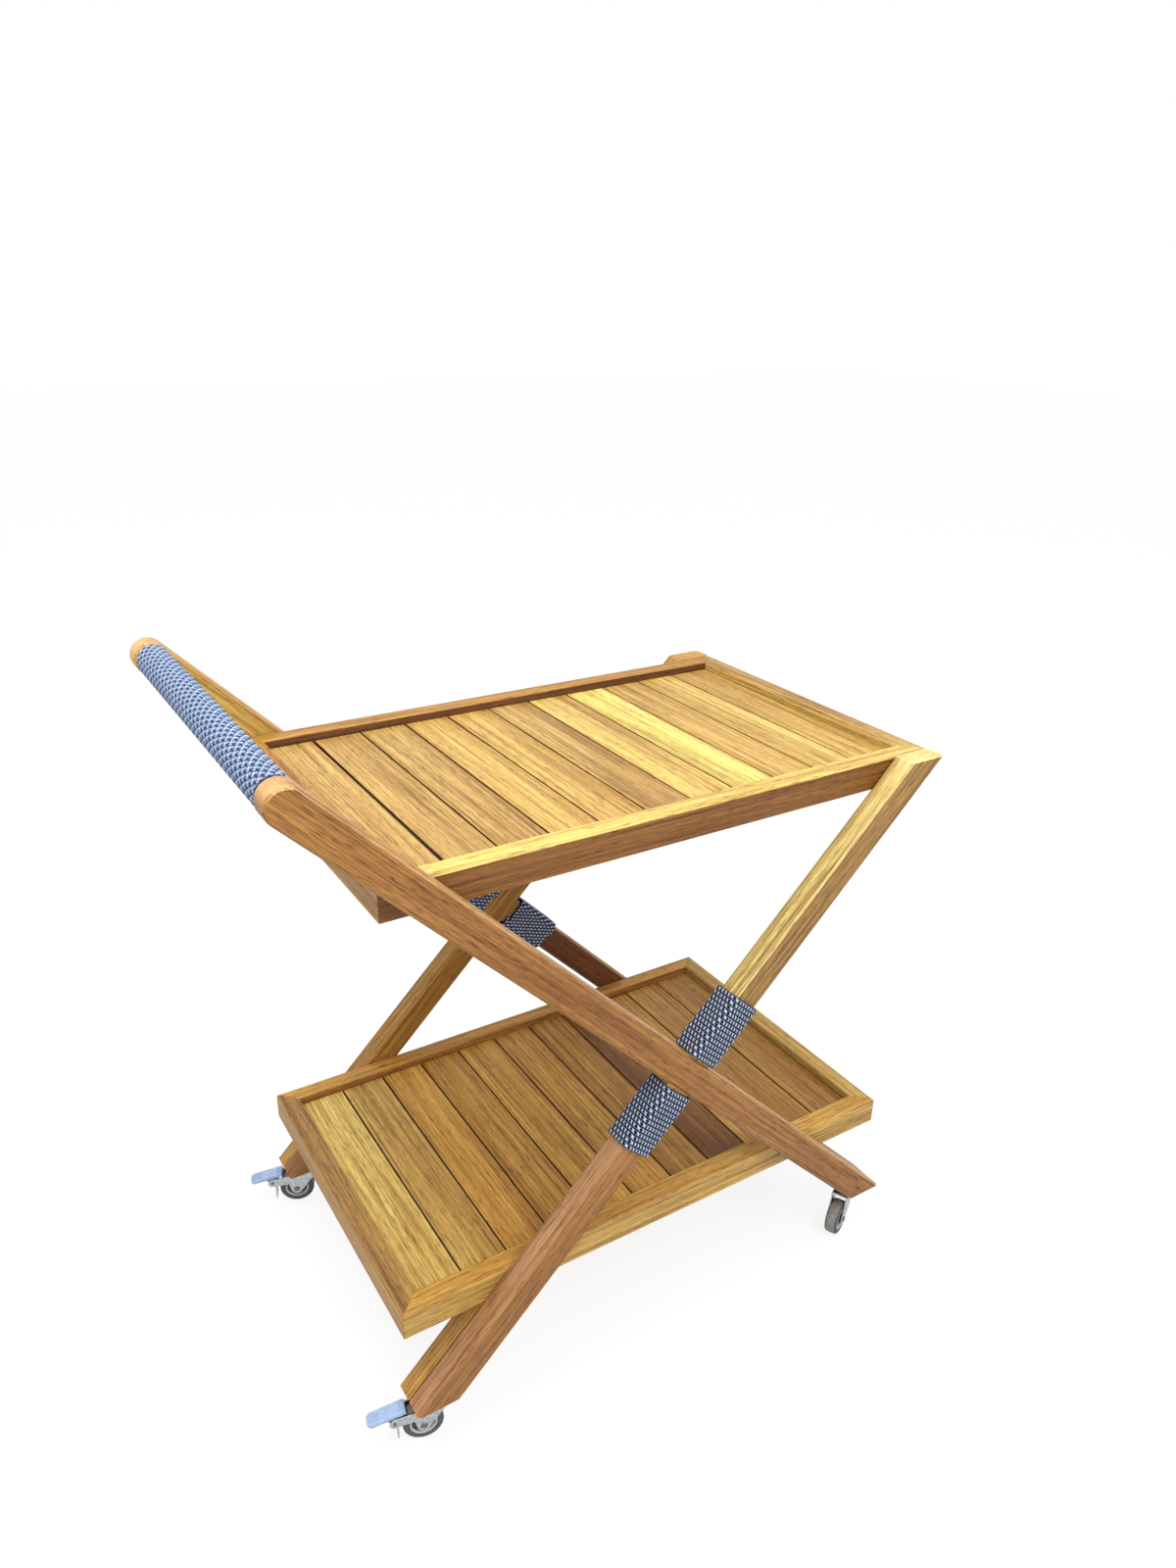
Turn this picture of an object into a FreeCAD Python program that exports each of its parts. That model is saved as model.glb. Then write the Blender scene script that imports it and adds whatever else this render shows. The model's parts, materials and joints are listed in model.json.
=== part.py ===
"""Wooden serving cart: two slatted trays on crossed legs, a corded handle bar and four swivel casters.

Millimetres. The origin is on the floor under the middle of the cart, +X runs from the handle to the
front, +Y to the left of the person pushing and +Z up. Each piece is written to parts/NODE.step.
"""
import FreeCAD
import Part

import math
import os

# Trays
tray_length = 740.0
tray_width = 450.0
tray_spacing = 550.0
rail_height = 38.0
rail_width = 26.0
rail_outer_ease = 2.5
rail_inner_ease = 1.5
slat_count = 11
slat_thickness = 12.0
slat_recess = 11.0
slat_gap = 2.0
slat_end_gap = 0.5
slat_ease = 0.8
first_slat_shift = 1.7
ledger_width = 14.0
ledger_height = 14.0

# Legs and feet
leg_width = 40.0
leg_thickness = 30.0
leg_ease = 3.0
foot_drop = 137.0
lap_share = 0.5

# Handle
handle_reach = 87.0
bar_diameter = 28.0
socket_depth = 15.0

# Cord
cord_height = 5.2
wrap_loops = 14
wrap_pitch = 6.7
wrap_base = 6.2
wrap_crest = 3.2
wrap_start_gap = 0.6
wrap_step_half = 8.0
band_loops = 24
band_sides = 9
band_gap = 1.0
band_valley_share = 0.5
band_end_gap = 2.0

# Casters
caster_height = 70.0
caster_trail = 22.0
caster_inset = 40.0
wheel_diameter = 50.0
tyre_width = 18.0
core_diameter = 34.0
core_width = 18.6
core_side_gap = 0.5
axle_diameter = 6.0
axle_stand = 1.5
fork_sheet = 2.0
fork_back = 14.0
fork_front = 17.0
axle_boss_diameter = 16.0
stem_diameter = 8.0
stem_length = 28.0
race_depth = 9.0
race_diameter = 28.0
king_pin_diameter = 10.0
king_pin_stand = 3.0

# Brakes
pivot_reach = 34.6
pivot_lift = 14.0
pivot_boss_diameter = 13.0
shoulder_reach = 21.0
shoulder_drop = 11.0
arm_waist_reach = 11.0
arm_waist_lift = 10.0
pin_diameter = 4.0
pin_stand = 1.2
pedal_inner = 20.0
pedal_length = 47.0
pedal_width = 18.8
pedal_thickness = 5.0
pedal_lift = 24.0
pedal_slope = 14.0
pedal_corner = 4.0
rib_width = 1.6
rib_height = 1.0
rib_pitch = 3.6
tip_ribs = 4
heel_ribs = 2
lever_width = 15.0
lever_hub_diameter = 9.0
lever_top_length = 24.0
plate_thickness = 2.0
plate_width = 16.0
plate_reach = 29.55
plate_height = 34.0
plate_floor_gap = 9.0

# Fits and cuts
fit_clearance = 0.05
flat_limit = 0.0001
bearing_gap = 0.3
overrun = 5.0

# Caster headings in degrees: the side each wheel trails to, from +X
headings = {"rear_right": 165.0, "rear_left": 157.0, "front_right": 205.0, "front_left": 172.0}

# Places worked out from the sizes above
X = FreeCAD.Vector(1, 0, 0)
Y = FreeCAD.Vector(0, 1, 0)
Z = FreeCAD.Vector(0, 0, 1)
ORIGIN = FreeCAD.Vector(0, 0, 0)

half_length = (tray_length + handle_reach + leg_width / 2) / 2
front_x = half_length
rear_x = front_x - tray_length
middle_x = (front_x + rear_x) / 2
side_y = tray_width / 2
foot_z = caster_height
lower_z = foot_z + foot_drop
upper_z = lower_z + tray_spacing
leg_rise = upper_z - foot_z
leg_angle = math.atan2(leg_rise, tray_length) + math.asin(leg_width / math.hypot(tray_length, leg_rise))
leg_cut = leg_width / math.sin(leg_angle)
slope = math.tan(leg_angle)
handle_x = rear_x - handle_reach
handle_z = foot_z + (front_x - leg_cut / 2 - handle_x) * slope
crossing_z = foot_z + (middle_x - rear_x - leg_cut / 2) * slope
up_front = FreeCAD.Vector(math.cos(leg_angle), 0, math.sin(leg_angle))
up_rear = FreeCAD.Vector(-math.cos(leg_angle), 0, math.sin(leg_angle))
ledger_drop = slat_recess + slat_thickness
wheel_radius = wheel_diameter / 2
race_z = caster_height - race_depth
crown_z = race_z - bearing_gap
fork_inner = core_width / 2 + core_side_gap
fork_outer = fork_inner + fork_sheet
foot_y = side_y + (leg_thickness - rail_width) / 2

nodes = {}


def at(x, y, z):
    """Point from its three coordinates."""
    return FreeCAD.Vector(x, y, z)


def prism(outline, depth):
    """Straight solid: a closed outline of points pushed along the vector depth."""
    return Part.Face(Part.makePolygon(outline + outline[:1])).extrude(depth)


def turned(profile, axis):
    """Solid of revolution about an axis through the origin, from (radius, place along the axis) pairs."""
    outline = [X * radius + axis * along for radius, along in profile]
    return Part.Face(Part.makePolygon(outline + outline[:1])).revolve(ORIGIN, axis, 360)


def rod(diameter, start, depth):
    """Round rod from the point start along the vector depth."""
    return Part.makeCylinder(diameter / 2, depth.Length, start, depth)


def mirrored(shape):
    """The same piece on the other side of the cart."""
    return shape.mirror(ORIGIN, Y)


def front_to_rear(shape):
    """The same piece turned end for end about the middle of the trays."""
    return shape.mirror(at(middle_x, 0, 0), X)


def eased(shape, ease, picked):
    """Bevel every edge for which picked(edge) is true."""
    return shape.makeChamfer(ease, [edge for edge in shape.Edges if picked(edge)])


def slanted(edge):
    """True for an edge that climbs along a leg, round its head as well."""
    first, last = edge.Vertexes[0].Point, edge.Vertexes[-1].Point
    return abs(first.z - last.z) > fit_clearance


# Legs, right side first
def leg_outline(y):
    """Outline of the tray leg, cut level at the foot and under the top of the tray."""
    return [
        at(rear_x, y, foot_z),
        at(rear_x + leg_cut, y, foot_z),
        at(front_x, y, upper_z),
        at(front_x - leg_cut, y, upper_z),
    ]


def handle_leg_blank(y, depth):
    """Handle leg as a blank: level cut at the front foot, half-round head about the handle bar."""
    head = at(handle_x, y, handle_z)
    above = at(math.sin(leg_angle), 0, math.cos(leg_angle)) * (leg_width / 2)
    toe = at(front_x, y, foot_z)
    heel = at(front_x - leg_cut, y, foot_z)
    edges = [
        Part.makeLine(toe, heel),
        Part.makeLine(heel, head - above),
        Part.Arc(head - above, head + up_rear * (leg_width / 2), head + above).toShape(),
        Part.makeLine(head + above, toe),
    ]
    return Part.Face(Part.Wire(edges)).extrude(depth)


inner_y = -side_y
lap_y = inner_y - leg_thickness * lap_share

tray_leg = eased(prism(leg_outline(inner_y), Y * -leg_thickness), leg_ease, slanted)
handle_leg = eased(handle_leg_blank(inner_y, Y * -leg_thickness), leg_ease, slanted)
tray_leg = tray_leg.cut(handle_leg_blank(lap_y, Y * -(leg_thickness + overrun)))
handle_leg = handle_leg.cut(prism(leg_outline(inner_y + overrun), Y * (lap_y - inner_y - overrun)))
socket = rod(
    bar_diameter + 2 * fit_clearance,
    at(handle_x, inner_y + overrun, handle_z),
    Y * -(socket_depth + fit_clearance + overrun),
)
handle_leg = handle_leg.cut(socket)

# Foot blocks under the lower tray, flush with the inside of its long rails
block_height = foot_drop - rail_height
block_lean = block_height / slope
block = prism(
    [
        at(rear_x, inner_y, foot_z),
        at(rear_x + leg_cut, inner_y, foot_z),
        at(rear_x + leg_cut + block_lean, inner_y, foot_z + block_height),
        at(rear_x + block_lean, inner_y, foot_z + block_height),
    ],
    Y * rail_width,
)
block = eased(block, leg_ease, lambda e: slanted(e) and e.Vertexes[0].Point.y > inner_y + overrun)

# Bores in the feet take the threaded caster stems
stem_bore = rod(
    stem_diameter + 2 * fit_clearance,
    at(rear_x + caster_inset, -foot_y, foot_z - overrun),
    Z * (stem_length + fit_clearance + overrun),
)
tray_leg = tray_leg.cut(stem_bore)
block = block.cut(stem_bore)
handle_leg = handle_leg.cut(front_to_rear(stem_bore))

nodes["right_tray_leg"] = tray_leg
nodes["left_tray_leg"] = mirrored(tray_leg)
nodes["right_handle_leg"] = handle_leg
nodes["left_handle_leg"] = mirrored(handle_leg)
nodes["rear_right_foot_block"] = block
nodes["rear_left_foot_block"] = mirrored(block)
nodes["front_right_foot_block"] = front_to_rear(block)
nodes["front_left_foot_block"] = mirrored(front_to_rear(block))


# Trays
def mitred_rail(start, end, inward, top):
    """Rail between two outer corners: eased section pushed along, then mitred at both ends."""
    run = end - start
    heading = run / run.Length
    section = [
        (0, -rail_height),
        (0, -rail_outer_ease),
        (rail_outer_ease, 0),
        (rail_width - rail_inner_ease, 0),
        (rail_width, -rail_inner_ease),
        (rail_width, -rail_height),
    ]
    corner = start + Z * top
    stick = prism([corner + inward * across + Z * up for across, up in section], run)
    mitre = [start, end, end + (inward - heading) * rail_width, start + (inward + heading) * rail_width]
    floor = Z * (top - rail_height - overrun)
    return stick.common(prism([p + floor for p in mitre], Z * (rail_height + 2 * overrun)))


def slats(top, shift):
    """Row of cross slats between the end rails; the rearmost one sits nearer the rail by shift."""
    bay = tray_length - 2 * rail_width
    width = (bay - (slat_count + 1) * slat_gap) / slat_count
    reach = side_y - rail_width - slat_end_gap
    row = []
    for number in range(slat_count):
        x = rear_x + rail_width + slat_gap + number * (width + slat_gap) - (0 if number else shift)
        z = top - slat_recess
        section = [
            at(x, -reach, z - slat_thickness),
            at(x, -reach, z - slat_ease),
            at(x + slat_ease, -reach, z),
            at(x + width - slat_ease, -reach, z),
            at(x + width, -reach, z - slat_ease),
            at(x + width, -reach, z - slat_thickness),
        ]
        row.append(prism(section, Y * (2 * reach)))
    return Part.makeCompound(row)


def ledgers(top):
    """Strips along the long rails that carry the slat ends."""
    y = inner_y + rail_width
    z = top - ledger_drop
    section = [
        at(rear_x + rail_width, y, z),
        at(rear_x + rail_width, y + ledger_width, z),
        at(rear_x + rail_width, y + ledger_width, z - ledger_height),
        at(rear_x + rail_width, y, z - ledger_height),
    ]
    strip = prism(section, X * (tray_length - 2 * rail_width))
    return Part.makeCompound([strip, mirrored(strip)])


for tray, top, shift in (("top_tray", upper_z, first_slat_shift), ("lower_tray", lower_z, 0)):
    rear_right, rear_left = at(rear_x, -side_y, 0), at(rear_x, side_y, 0)
    front_right, front_left = at(front_x, -side_y, 0), at(front_x, side_y, 0)
    nodes[tray + "_right_rail"] = mitred_rail(rear_right, front_right, Y, top)
    nodes[tray + "_left_rail"] = mitred_rail(rear_left, front_left, -Y, top)
    nodes[tray + "_rear_rail"] = mitred_rail(rear_right, rear_left, X, top)
    nodes[tray + "_front_rail"] = mitred_rail(front_right, front_left, -X, top)
    nodes[tray + "_slats"] = slats(top, shift)
    nodes[tray + "_ledgers"] = ledgers(top)

# Handle bar, its ends in blind sockets in the handle legs
bar_half = side_y + socket_depth
nodes["handle_bar"] = rod(bar_diameter, at(handle_x, -bar_half, handle_z), Y * (2 * bar_half))


# Cord
def facet(*corners):
    """Flat face between corner points."""
    return Part.Face(Part.makePolygon(corners + corners[:1]))


def wound(places, outs, axis, section):
    """Cord laid along a path of places: its (height, along) section stands on each, facing outs there.

    A side between two sections that isn't flat is folded along its diagonal.
    """
    rings = [[p + out * height + axis * along for height, along in section] for p, out in zip(places, outs)]
    faces = [facet(*rings[0]), facet(*rings[-1])]
    count = len(section)
    for near, far in zip(rings, rings[1:]):
        for k in range(count):
            a, b, c, d = near[k], near[(k + 1) % count], far[(k + 1) % count], far[k]
            fold = (b - a).cross(c - a).normalize().dot(d - a)
            faces += [facet(a, b, c, d)] if abs(fold) < flat_limit else [facet(a, b, c), facet(a, c, d)]
    skin = Part.makeCompound(faces)
    skin.sewShape()
    return Part.Solid(skin.Shells[0])


def turn_gap(places, axis, pitch, width):
    """Least gap between a turn and the next, from points along the facing edges of its first turns."""
    spots = []
    for p, q in zip(places, places[1:]):
        parts = max(int(2 * (q - p).Length), 1)
        spots += [p + (q - p) * (k / parts) for k in range(parts)]
    turn = [p for p in spots if (p - places[0]).dot(axis) < 2 * pitch]
    across = axis * (pitch - width)
    return round(min((p + across - q).Length for p in turn for q in turn), 2)


def leg_wrap(name, start, along, inward):
    """Loops round a leg that follow its bevelled section and step to the next on the inside."""
    across = along.cross(Y)
    deep = leg_thickness / 2 + fit_clearance
    wide = leg_width / 2 + fit_clearance
    flat = leg_ease + fit_clearance * (2 - math.sqrt(2))
    corner = [(deep, wide - flat), (deep - flat, wide), (flat - deep, wide), (-deep, wide - flat)]
    corner += [(-d, -w) for d, w in corner]
    turn = [(deep, wrap_step_half)] + corner + [(deep, -wrap_step_half)]
    eighth = math.pi / 8
    lean = [inward * math.cos(eighth * k) + across * math.sin(eighth * k) for k in range(1, 16, 2)]
    facing = [inward] + [way / math.cos(eighth) for way in lean] + [inward]
    places, outs = [], []
    for loop in range(wrap_loops):
        level = start + along * (wrap_pitch * loop)
        places += [level + inward * d + across * w for d, w in turn]
        outs += facing
    half, crest = wrap_base / 2, wrap_crest / 2
    section = [(0, -half), (0, half), (cord_height, crest), (cord_height, -crest)]
    length = sum((q - p).Length for p, q in zip(places, places[1:]))
    print(name, "turn gap", turn_gap(places, along, wrap_pitch, wrap_base), "cord length", round(length))
    nodes[name] = wound(places, outs, along, section)


wrap_offset = leg_width / 2 / math.sin(2 * leg_angle) + wrap_start_gap + wrap_base / 2
for side, sign, climb in (("right", -1, up_front), ("left", 1, up_rear)):
    centre = at(middle_x, sign * (side_y + leg_thickness / 2), crossing_z)
    leg_wrap(side + "_upper_wrap", centre + climb * wrap_offset, climb, Y * -sign)
    leg_wrap(side + "_lower_wrap", centre - climb * wrap_offset, -climb, Y * -sign)


def handle_winding():
    """Band of three cords side by side that climbs the bar as a helix of short flats."""
    step = 2 * math.pi / band_sides
    mitre = 1 / math.cos(step / 2)
    radius = (bar_diameter / 2 + fit_clearance) * mitre
    pitch = (tray_width - 2 * band_end_gap) / (band_loops + 1)
    places, outs = [], []
    for k in range(band_sides * band_loops + 1):
        out = at(math.cos(k * step), 0, -math.sin(k * step))
        climb = pitch * (k / band_sides - band_loops / 2)
        places.append(at(handle_x, climb, handle_z) + out * radius)
        outs.append(out * mitre)
    base = pitch - band_gap
    crest, valley = cord_height, cord_height * band_valley_share
    section = [(0, -base / 2), (0, base / 2), (crest, base / 3), (valley, base / 6)]
    section += [(crest, 0), (valley, -base / 6), (crest, -base / 3)]
    print("handle_cord turn gap", turn_gap(places, Y, pitch, base))
    nodes["handle_cord"] = wound(places, outs, Y, section)


handle_winding()


# Casters, each drawn with its king pin on the Z axis and its wheel trailing along +X
def tangent_point(x, z, centre_x, centre_z, radius, side):
    """Where the line from (x, z) touches a circle, on its left (side 1) or right (side -1)."""
    away = math.hypot(x - centre_x, z - centre_z)
    angle = math.atan2(z - centre_z, x - centre_x) + side * math.acos(radius / away)
    return at(centre_x + radius * math.cos(angle), 0, centre_z + radius * math.sin(angle))


def fork_outline(braked):
    """Side view of the fork: crown, round axle boss and, with a brake, an arm to the pedal pivot."""
    axle = at(caster_trail, 0, wheel_radius)
    boss = axle_boss_diameter / 2
    back = at(-fork_back, 0, crown_z)
    front = at(fork_front, 0, crown_z)
    behind = tangent_point(back.x, back.z, axle.x, axle.z, boss, 1)
    if not braked:
        before = tangent_point(front.x, front.z, axle.x, axle.z, boss, -1)
        foot = Part.Arc(before, axle - Z * boss, behind).toShape()
        return [Part.makeLine(back, front), Part.makeLine(front, before), foot, Part.makeLine(behind, back)]
    pivot = at(caster_trail + pivot_reach, 0, wheel_radius + pivot_lift)
    tip = pivot_boss_diameter / 2
    waist = at(caster_trail + arm_waist_reach, 0, wheel_radius + arm_waist_lift)
    shoulder = at(shoulder_reach, 0, crown_z - shoulder_drop)
    over = tangent_point(shoulder.x, shoulder.z, pivot.x, pivot.z, tip, -1)
    under = tangent_point(waist.x, waist.z, pivot.x, pivot.z, tip, 1)
    before = tangent_point(waist.x, waist.z, axle.x, axle.z, boss, -1)
    return [
        Part.makeLine(back, front),
        Part.makeLine(front, shoulder),
        Part.makeLine(shoulder, over),
        Part.Arc(over, pivot + X * tip, under).toShape(),
        Part.makeLine(under, waist),
        Part.makeLine(waist, before),
        Part.Arc(before, axle - Z * boss, behind).toShape(),
        Part.makeLine(behind, back),
    ]


def fork(braked):
    """Folded sheet fork: two cheeks and a crown bored for the king pin; axle and pin are riveted in."""
    cheeks = Part.Face(Part.Wire(fork_outline(braked)))
    cheeks.translate(Y * -fork_outer)
    body = cheeks.extrude(Y * (2 * fork_outer))
    reach = caster_trail + pivot_reach + pivot_boss_diameter
    hollow = Part.makeBox(2 * reach, 2 * fork_inner, crown_z - fork_sheet, at(-reach, -fork_inner, 0))
    body = body.cut(hollow)
    return body.cut(rod(king_pin_diameter + 2 * fit_clearance, ORIGIN, Z * caster_height))


def cross_pin(diameter, stand):
    """Pin riveted into both cheeks of the fork, standing a little proud of them."""
    reach = fork_outer + stand
    return rod(diameter, Y * -reach, Y * (2 * reach))


def ring(outside, inside, width):
    """Round disc about the wheel's axis, bored through."""
    return rod(outside, Y * (-width / 2), Y * width).cut(rod(inside, Y * -width, Y * (2 * width)))


def pedal_parts():
    """Pedal pad with ribs, the lever block beneath it and the brake plate beside the tyre."""
    pivot = at(caster_trail + pivot_reach, 0, wheel_radius + pivot_lift)
    heel = at(caster_trail + pedal_inner, 0, wheel_radius + pedal_lift)
    half = pedal_width / 2
    pad = Part.makeBox(pedal_length, pedal_width, pedal_thickness, heel - Y * half)
    upright = [e for e in pad.Edges if abs(e.Vertexes[0].Point.z - e.Vertexes[1].Point.z) > fit_clearance]
    pad = pad.makeChamfer(pedal_corner, [e for e in upright if e.Vertexes[0].Point.x > pivot.x])
    top = heel + Z * pedal_thickness
    ribs = [heel.x + pedal_length - (k + 1) * rib_pitch for k in range(tip_ribs)]
    ribs += [heel.x + (k + 1) * rib_pitch - rib_width for k in range(heel_ribs)]
    ridge = half - pedal_corner
    bars = [Part.makeBox(rib_width, 2 * ridge, rib_height, at(x, -ridge, top.z)) for x in ribs]
    pad = pad.multiFuse(bars)
    pad.rotate(heel, Y, pedal_slope)

    # The block's top follows the sloping underside of the pad
    fall = math.tan(math.radians(pedal_slope))
    rest_x = pivot.x - lever_top_length / 2
    rest_z = heel.z - (rest_x - heel.x) * fall - fit_clearance
    hub = lever_hub_diameter / 2
    outline = [
        at(rest_x, -lever_width / 2, rest_z),
        at(rest_x + lever_top_length, -lever_width / 2, rest_z - lever_top_length * fall),
        at(pivot.x + hub, -lever_width / 2, pivot.z),
        at(pivot.x, -lever_width / 2, pivot.z - hub),
        at(pivot.x - hub, -lever_width / 2, pivot.z),
    ]
    lever = prism(outline, Y * lever_width)
    pin_bore = rod(pin_diameter + 2 * fit_clearance, pivot - Y * lever_width, Y * (2 * lever_width))
    lever = lever.cut(pin_bore)

    foot = at(caster_trail + plate_reach, -plate_width / 2, plate_floor_gap)
    plate = Part.makeBox(plate_thickness, plate_width, plate_height, foot)
    return pad, lever.cut(plate), plate


stem = turned(
    [
        (0, crown_z - fork_sheet - king_pin_stand),
        (king_pin_diameter / 2, crown_z - fork_sheet - king_pin_stand),
        (king_pin_diameter / 2, race_z),
        (race_diameter / 2, race_z),
        (race_diameter / 2, foot_z),
        (stem_diameter / 2, foot_z),
        (stem_diameter / 2, foot_z + stem_length),
        (0, foot_z + stem_length),
    ],
    Z,
)
stems = []
for corner, heading in headings.items():
    end, side = corner.split("_")
    pivot_x = rear_x + caster_inset if end == "rear" else front_x - caster_inset
    pivot_y = foot_y if side == "left" else -foot_y
    placement = FreeCAD.Placement(at(pivot_x, pivot_y, 0), FreeCAD.Rotation(Z, heading))
    braked = end == "rear"
    hub = at(caster_trail, 0, wheel_radius)
    pivot = hub + at(pivot_reach, 0, pivot_lift)
    pieces = {
        "fork": fork(braked),
        "axle": cross_pin(axle_diameter, axle_stand).translated(hub),
        "wheel": ring(core_diameter, axle_diameter + 2 * fit_clearance, core_width).translated(hub),
        "tyre": ring(wheel_diameter, core_diameter + 2 * fit_clearance, tyre_width).translated(hub),
    }
    if braked:
        pieces["pedal"], pieces["lever"], pieces["brake_plate"] = pedal_parts()
        pieces["pedal_pin"] = cross_pin(pin_diameter, pin_stand).translated(pivot)
        print(corner, "pedal", [round(c, 3) for c in placement.multVec(pivot)])
    for name, shape in pieces.items():
        shape.Placement = placement.multiply(shape.Placement)
        nodes[corner + "_" + name] = shape
    stems.append(stem.translated(at(pivot_x, pivot_y, 0)))
    print(corner, "pivot", [pivot_x, pivot_y], "axle", [round(c, 3) for c in placement.multVec(hub)])
nodes["caster_stems"] = Part.makeCompound(stems)

# One file for each piece
os.makedirs("parts", exist_ok=True)
for name, shape in nodes.items():
    shape.exportStep(os.path.join("parts", name + ".step"))
box = Part.makeCompound(list(nodes.values())).BoundBox
low, high = at(box.XMin, box.YMin, box.ZMin), at(box.XMax, box.YMax, box.ZMax)
print(len(nodes), "nodes from", [round(c, 1) for c in low], "to", [round(c, 1) for c in high])
print("invalid", [name for name, shape in nodes.items() if not shape.isValid()])
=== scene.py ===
# %% [markdown]
# # A wooden serving cart with a corded handle
#
# The real cart is a piece of garden furniture: two slatted hardwood trays on crossed legs, a round handle
# bar bound with cord, cord bindings beside each crossing, and four swivel casters. Its sizes, joints and
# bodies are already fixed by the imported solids. They could all be modelled again here, but then two models
# would have to agree, so this lesson loads the solids as a frame and dresses them piece by piece.

import json
import math

import bmesh
import bpy
import numpy as np
from mathutils import Euler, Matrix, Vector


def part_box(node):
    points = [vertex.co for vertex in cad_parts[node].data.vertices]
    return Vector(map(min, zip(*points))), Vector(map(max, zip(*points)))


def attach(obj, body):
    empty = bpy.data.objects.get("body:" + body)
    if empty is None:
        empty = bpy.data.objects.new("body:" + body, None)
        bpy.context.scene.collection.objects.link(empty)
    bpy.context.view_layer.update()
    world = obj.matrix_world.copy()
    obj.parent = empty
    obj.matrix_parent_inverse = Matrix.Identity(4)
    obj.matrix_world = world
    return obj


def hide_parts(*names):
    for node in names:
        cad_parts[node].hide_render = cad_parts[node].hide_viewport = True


MM = 0.001
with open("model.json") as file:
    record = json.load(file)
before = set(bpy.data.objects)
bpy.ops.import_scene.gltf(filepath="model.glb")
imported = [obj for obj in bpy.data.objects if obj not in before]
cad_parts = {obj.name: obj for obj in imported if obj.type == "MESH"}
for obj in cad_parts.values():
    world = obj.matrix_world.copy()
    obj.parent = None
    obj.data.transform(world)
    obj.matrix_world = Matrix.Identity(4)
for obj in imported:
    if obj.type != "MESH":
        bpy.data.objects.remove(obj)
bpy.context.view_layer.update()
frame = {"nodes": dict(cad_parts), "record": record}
nodes = frame["nodes"]

# %% [markdown]
# ## Colours and shader nodes
#
# Colours are written as the screen shows them, in hex, while shaders count light in a straight line. One
# function makes that change. Materials are built in code rather than by hand so that every number can be
# read. One function adds a node, makes its choices and fills its inputs, and three short ones name the
# nodes that are needed most: a sum, a ramp and a mix of two colours.


# %% Colours and shader nodes
def linear(code):
    """Linear RGBA of a hex colour: a straight line near black, a power of 2.4 above it."""
    values = np.array([int(code[k:k + 2], 16) for k in (1, 3, 5)]) / 255
    line_end, line_slope, lift, power = 0.04045, 12.92, 0.055, 2.4
    light = np.where(values <= line_end, values / line_slope, ((values + lift) / (1 + lift)) ** power)
    return (*light.tolist(), 1.0)


def add(tree, kind, values=None, out=0, **choices):
    """Add a node; values fill its inputs by name or number, linked where they are sockets."""
    node = tree.nodes.new("ShaderNode" + kind)
    for name, choice in choices.items():
        setattr(node, name, choice)
    for key, value in (values or {}).items():
        if isinstance(value, bpy.types.NodeSocket):
            tree.links.new(value, node.inputs[key])
        else:
            node.inputs[key].default_value = value
    return node.outputs[out]


def maths(tree, operation, *values):
    """Result of one operation on up to three values."""
    return add(tree, "Math", dict(enumerate(values)), operation=operation)


def ramp(tree, value, low, high, start=0.0, stop=1.0):
    """Straight line that goes from start to stop while value goes from low to high."""
    return add(tree, "MapRange", {0: value, 1: low, 2: high, 3: start, 4: stop})


def mix(tree, share, first, second, blend="MIX"):
    """Colour that goes from first to second by share, or is multiplied by second by share."""
    return add(tree, "Mix", {0: share, 6: first, 7: second}, out=2, data_type="RGBA", blend_type=blend)


def new_material(name):
    """Material with its node tree and principled shader."""
    material = bpy.data.materials.new(name)
    material.use_nodes = True
    tree = material.node_tree
    return material, tree, tree.nodes["Principled BSDF"]


# Nearly all values of a noise lie between these two
noise_low, noise_high = 0.3, 0.7
white = linear("#ffffff")
print("white is", white)

# %% [markdown]
# ## Camera
#
# The photograph was taken from above the right rear corner with a wide lens. The place, turn and focal
# length below were solved from the corners of both trays, so the cart lands close to where the photograph
# has it.

# %% Camera
focal_length_mm, sensor_width_mm = 26.15, 36
nearest_view = 0.05
camera_place = (-0.6580, -1.1266, 1.2806)
camera_turn_degrees = (66.504, -1.141, -32.049)
scene = bpy.context.scene
scene.view_settings.view_transform = "Standard"
lens = bpy.data.cameras.new("camera")
lens.lens = focal_length_mm
lens.sensor_width = sensor_width_mm
lens.clip_start = nearest_view
camera = bpy.data.objects.new("camera", lens)
camera.location = camera_place
camera.rotation_euler = Euler(np.radians(camera_turn_degrees))
scene.collection.objects.link(camera)
scene.camera = camera
print("camera at", np.round(camera.location, 3).tolist())

# %% [markdown]
# ## Floor and sky
#
# The cart stands on plain white. A very bright floor would throw too much light up under the trays, so the
# floor and the sky look white only to the camera and to reflections, and light the wood at a plain level.
# A share of ordinary matt white stays in the floor, which is where the soft shadow comes from.

# %% Floor and sky
floor_grey = linear("#dbdbdb")
floor_share = 0.15
half_floor = 15.0
sky_light = 0.95


def seen_directly(tree):
    """One for camera, mirror and glass rays and zero for the light that falls on the cart."""
    rays = add(tree, "LightPath").node
    camera_ray, mirror_ray, glass_ray = (
        rays.outputs[name] for name in ("Is Camera Ray", "Is Glossy Ray", "Is Transmission Ray")
    )
    return maths(tree, "MAXIMUM", maths(tree, "MAXIMUM", camera_ray, mirror_ray), glass_ray)


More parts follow.
